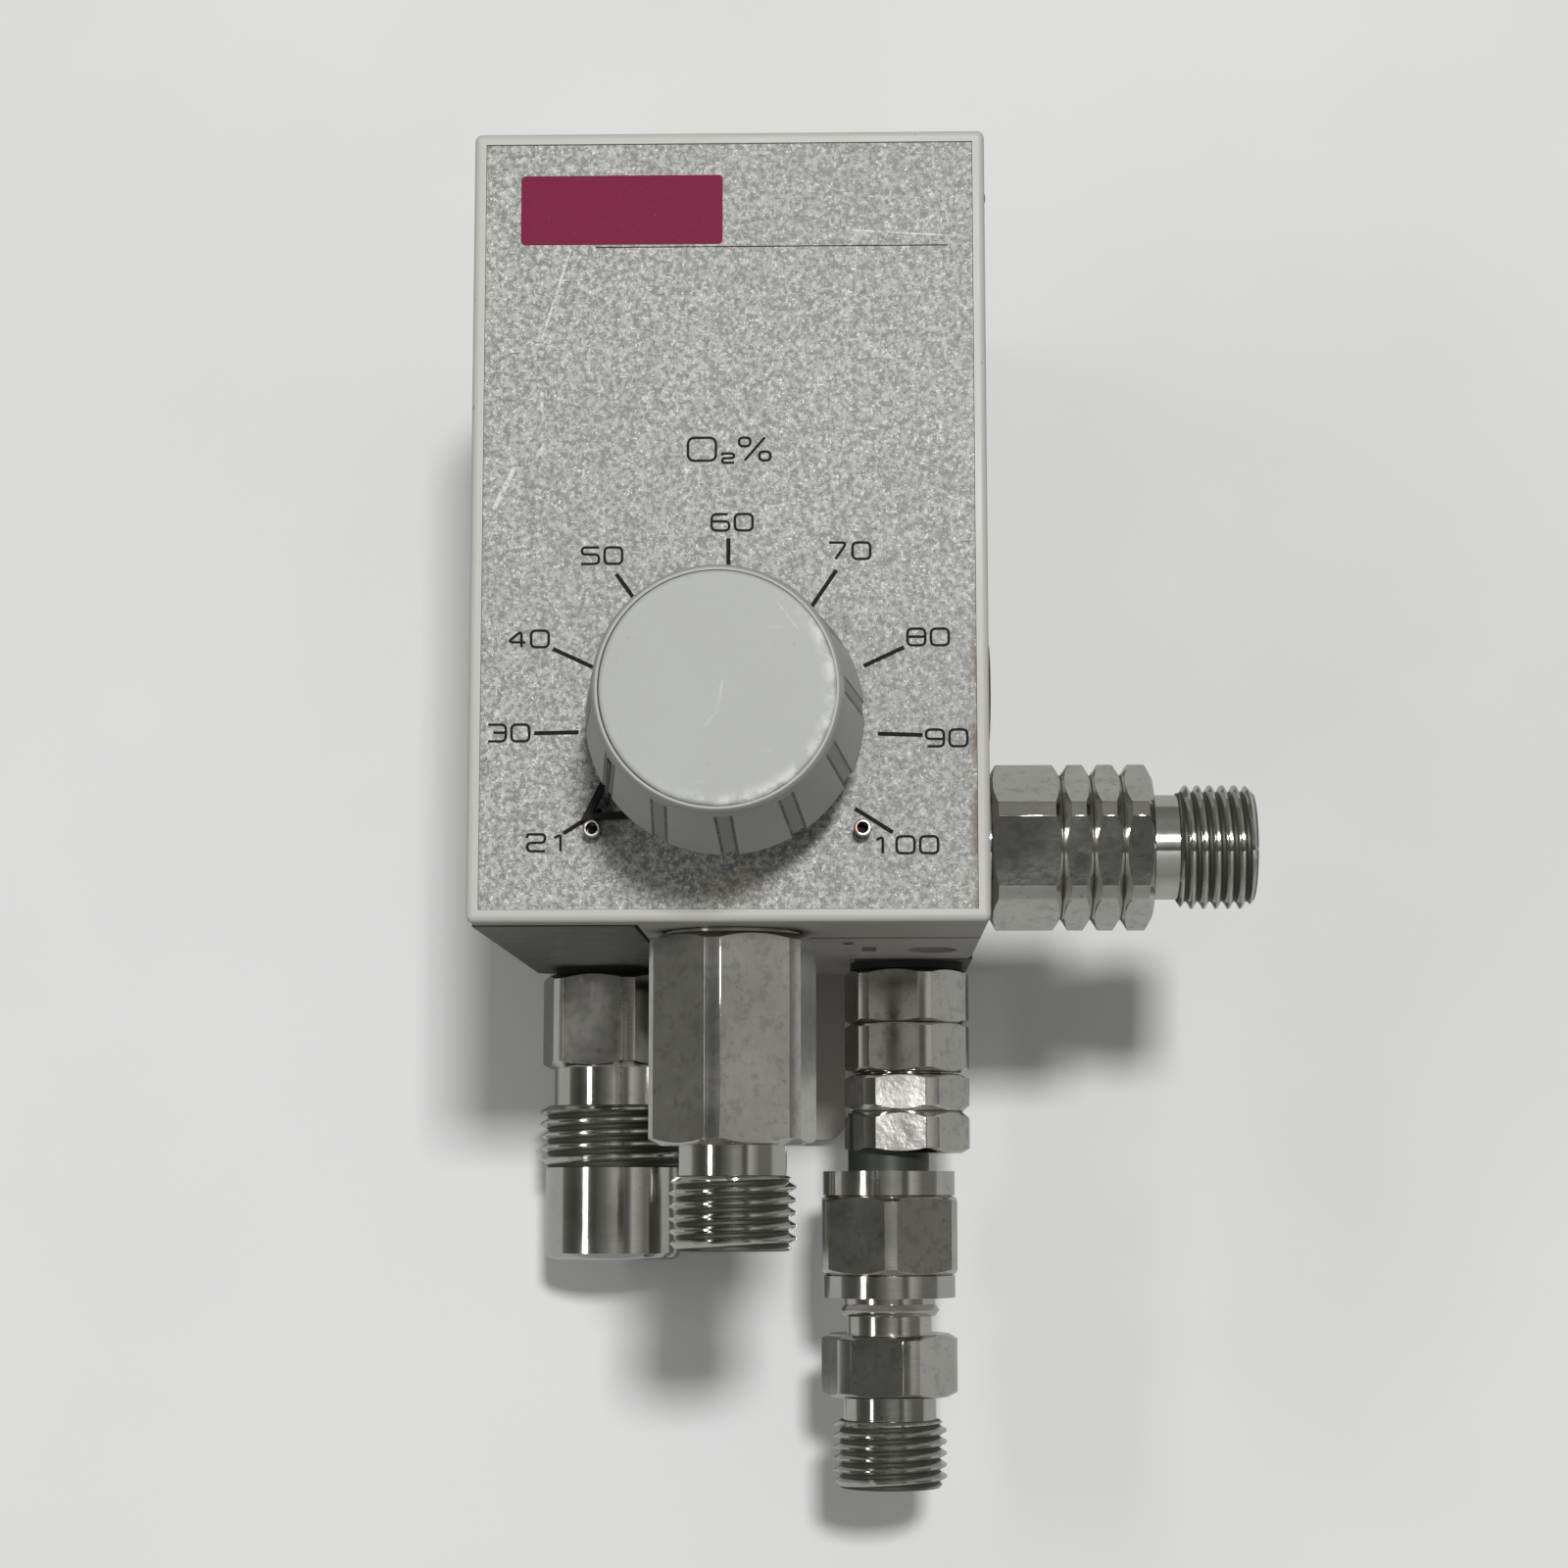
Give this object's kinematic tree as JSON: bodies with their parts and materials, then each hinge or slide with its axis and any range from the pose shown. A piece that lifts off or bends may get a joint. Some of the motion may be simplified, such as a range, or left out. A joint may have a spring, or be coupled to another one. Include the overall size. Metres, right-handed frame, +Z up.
{
  "type": "air oxygen blender",
  "caption": "Gas mixing valve for a ward: boxed body with a turning knob and graduated dial, threaded air and oxygen inlets below, threaded outlets below and at the side, rear bracket.",
  "frame": {"origin": "centre line of the rear bracket's mounting face, at the middle of the body's height", "axes": "+Y points into the wall, the dial faces -Y, +Z is up, +X is to the right of someone reading the dial"},
  "size_m": [0.0888, 0.1156, 0.1547],
  "materials": {
    "body_paint": "satin grey enamel, slightly worn at the face's rim",
    "label_metal": "silver grey printed plate, fine metallic speckle",
    "block_paint": "dark grey anodised look, satin",
    "knob_plastic": "light grey moulded plastic",
    "cap_plastic": "light grey moulded plastic",
    "pointer_plastic": "black moulded plastic",
    "plug_plastic": "dark brown, slightly glossy",
    "nickel_plate": "nickel plated brass, bright",
    "brass": "turned",
    "sintered_bronze": "porous",
    "steel": "turned",
    "bare_aluminium": "machined",
    "seal_rubber": "matt black"
  },
  "bodies": {
    "blender_body": {"front_cover": "body_paint", "rear_housing": "body_paint", "rear_bracket": "body_paint", "label_plate": "label_metal", "air_block": "block_paint", "oxygen_block": "block_paint", "side_plug": "plug_plastic", "primary_outlet": "nickel_plate", "auxiliary_outlet": "nickel_plate", "air_inlet": "nickel_plate", "oxygen_inlet": "nickel_plate", "oxygen_offset_body": "nickel_plate", "oxygen_nipple": "nickel_plate", "union_nut": "nickel_plate", "oxygen_adapter": "nickel_plate", "shaft_bush": "brass", "panel_nut": "brass", "air_seat": "brass", "oxygen_seat": "brass", "transfer_tubes": "brass", "alarm_plug": "brass", "alarm_reed": "brass", "air_filter": "sintered_bronze", "oxygen_filter": "sintered_bronze", "stop_pins": "steel", "bracket_screws": "steel", "side_screws": "steel", "air_spring": "steel", "oxygen_spring": "steel", "auxiliary_spring": "steel", "alarm_spring": "steel", "auxiliary_retainer": "steel", "valve_body": "bare_aluminium", "balance_left": "bare_aluminium", "balance_right": "bare_aluminium", "alarm_body": "bare_aluminium", "cover_strap": "bare_aluminium", "cover_gasket": "seal_rubber", "valve_gasket": "seal_rubber", "diaphragm": "seal_rubber", "primary_washer": "seal_rubber", "auxiliary_washer": "seal_rubber", "air_washer_ring": "seal_rubber", "oxygen_washer_ring": "seal_rubber"},
    "knob": {"control_knob": "knob_plastic", "knob_cap": "cap_plastic", "pointer": "pointer_plastic", "collet_nut": "brass", "control_shaft": "steel"},
    "spindle": {"valve_spindle": "brass"},
    "balance": {"balance_spindle": "brass"},
    "air_valve": {"air_poppet": "brass"},
    "oxygen_valve": {"oxygen_poppet": "brass"},
    "auxiliary_valve": {"auxiliary_poppet": "brass"},
    "alarm": {"alarm_piston": "brass"}
  },
  "joints": [
    {"name": "knob_turn", "type": "hinge", "parent": "blender_body", "child": "knob", "pos_m": [0, -0.1, -0.0233], "axis": [0, 1, 0], "range_deg": [0, 245]},
    {"name": "valve_slide", "type": "slide", "parent": "blender_body", "child": "spindle", "axis": [0, -1, 0], "range_m": [0, 0.00103]},
    {"name": "balance_slide", "type": "slide", "parent": "blender_body", "child": "balance", "axis": [1, 0, 0], "range_m": [-0.0008, 0.0008], "stiffness_N_per_m": 150},
    {"name": "air_check", "type": "slide", "parent": "blender_body", "child": "air_valve", "axis": [0, 0, 1], "range_m": [0, 0.0015], "stiffness_N_per_m": 120, "springref_m": -0.002, "deforming": ["air_spring"]},
    {"name": "oxygen_check", "type": "slide", "parent": "blender_body", "child": "oxygen_valve", "axis": [0, 0, 1], "range_m": [0, 0.0015], "stiffness_N_per_m": 120, "springref_m": -0.002, "deforming": ["oxygen_spring"]},
    {"name": "auxiliary_check", "type": "slide", "parent": "blender_body", "child": "auxiliary_valve", "axis": [-1, 0, 0], "range_m": [0, 0.0015], "stiffness_N_per_m": 120, "springref_m": -0.002, "deforming": ["auxiliary_spring"]},
    {"name": "alarm_slide", "type": "slide", "parent": "blender_body", "child": "alarm", "axis": [1, 0, 0], "range_m": [0, 0.003], "stiffness_N_per_m": 80, "springref_m": -0.004, "deforming": ["alarm_spring"]}
  ],
  "couplings": [
    {"joint": "valve_slide", "follows": "knob_turn", "m_per_rad": 0.00023873}
  ]
}
